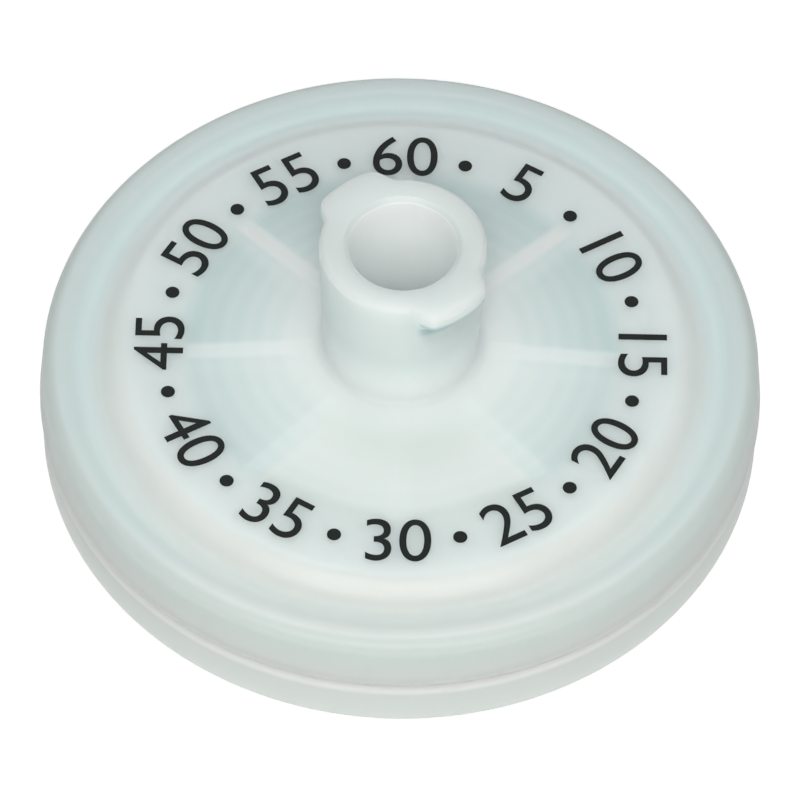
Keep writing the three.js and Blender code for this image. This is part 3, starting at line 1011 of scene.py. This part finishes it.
def print_ring():
    pitch = math.tau / len(NUMBERS)
    marks = []
    for index, text in enumerate(NUMBERS):
        angle = math.pi / 2 - (index + 1) * pitch
        marks.append(print_number(text, angle))
        marks.append(print_dot(angle - pitch / 2))
    deselect_everything()
    for mark in marks:
        mark.select_set(True)
    bpy.context.view_layer.objects.active = marks[0]
    bpy.ops.object.join()
    ring = bpy.context.object
    ring.name = "printed_numbers"
    return ring


numbers = print_ring()
numbers.data.materials.clear()
numbers.data.materials.append(ink_material)
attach(numbers, "root")
print("printed ring:", len(numbers.data.polygons), "faces")

# %% [markdown]
# ## Floor and light
#
# The floor is a pale sweep that the camera sees as white, while it still takes the filter's
# shadow. The key is a large, slightly warm softbox in front and above, on the camera's side, so
# its shadow falls behind the filter. A small fill shines from where the camera stands, into the
# socket and on the foot of the hub; it is kept out of reflections, where it would leave a glare.
# A narrow box hangs overhead, where the facets in front of the hub mirror it and level surfaces
# just miss it, and a weak one stands behind. The world is dim and cool and fills the rest, but
# the camera sees it as white.


# %% Floor
FLOOR_SIZE = 6
FLOOR_GLOW = 0.45


def paper_floor():
    material, shader = start_material("paper_sweep", {"Roughness": 0.9, "Specular IOR Level": 0.1})
    point, x, y, z = object_point(material)
    fibres = point.node("ShaderNodeTexNoise", {}, {"Vector": point, "Scale": 0.5, "Detail": 3.0})
    feed(shader, "Base Color", fibres.mix(colour(0.90, 0.90, 0.90), colour(0.92, 0.92, 0.92)))
    seen = point.node("ShaderNodeLightPath", {}, {}, output="Is Camera Ray")
    light = {"Color": colour(1, 1, 1), "Strength": FLOOR_GLOW * seen}
    glow = point.node("ShaderNodeEmission", {}, light)
    both = point.node("ShaderNodeAddShader", {}, {0: Field(glow.tree, shader.outputs[0]), 1: glow})
    output = material.node_tree.nodes["Material Output"]
    both.tree.links.new(both.output, output.inputs["Surface"])
    return material


deselect_everything()
bpy.ops.mesh.primitive_plane_add(size=FLOOR_SIZE, location=(0, 0, 0))
floor = bpy.context.object
floor.name = "floor"
floor.data.materials.append(paper_floor())


# %% Light
KEY_LEVEL = 2.0
FILL_LEVEL = 28
OVERHEAD_LEVEL = 2.4
BACK_LEVEL = 1.0
WORLD_LEVEL = 0.22
KEY_TINT = (1.0, 0.94, 0.90)
FILL_TINT = (1.0, 0.985, 0.97)
COOL_TINT = (0.93, 1.0, 1.0)


def softbox(name, low, high, distance, width, level, tint=(1, 1, 1)):
    """A softbox over the filter that reaches from one elevation to another, seen from its face.

    Elevations are in degrees, from the horizon behind the filter up and over to the front.
    Distance and width are in metres. The level is the brightness of the box, where 1 is white.
    """
    middle = math.radians((low + high) / 2)
    height = 2 * distance * math.tan(math.radians(high - low) / 2)
    bpy.ops.object.light_add(type="AREA")
    lamp = bpy.context.object
    lamp.name = name
    direction = Vector((0, math.cos(middle), math.sin(middle)))
    lamp.location = Vector((0, 0, FACE_Z * MM)) + direction * distance
    lamp.rotation_mode = "QUATERNION"
    lamp.rotation_quaternion = direction.to_track_quat("Z", "Y")
    lamp.data.shape = "RECTANGLE"
    lamp.data.size = width
    lamp.data.size_y = height
    lamp.data.energy = level * math.pi * width * height
    lamp.data.color = tint
    lamp.visible_camera = False
    return lamp


def light_world():
    world = bpy.data.worlds.new("studio")
    bpy.context.scene.world = world
    world.use_nodes = True
    start = Field(world.node_tree, None)
    seen = start.node("ShaderNodeLightPath", {}, {}, output="Is Camera Ray")
    background = world.node_tree.nodes["Background"]
    background.inputs["Strength"].default_value = 1
    dim = colour(*(WORLD_LEVEL * part for part in COOL_TINT))
    feed(background, "Color", seen.mix(dim, colour(1, 1, 1)))


key = softbox("key_softbox", low=112, high=152, distance=0.16, width=0.18,
              level=KEY_LEVEL, tint=KEY_TINT)
fill = softbox("fill_softbox", low=120, high=132, distance=0.25, width=0.05,
               level=FILL_LEVEL, tint=FILL_TINT)
fill.visible_glossy = False
overhead = softbox("overhead_softbox", low=60, high=74, distance=0.60, width=0.30,
                   level=OVERHEAD_LEVEL)
back = softbox("back_softbox", low=8, high=34, distance=0.60, width=0.70, level=BACK_LEVEL)
light_world()
print("lamps in watts:", [round(lamp.data.energy, 3) for lamp in (key, fill, overhead, back)])

# %% [markdown]
# ## The last settings
#
# The Standard view shows every colour as it is written.

# %% Render settings
scene = bpy.context.scene
scene.view_settings.view_transform = "Standard"
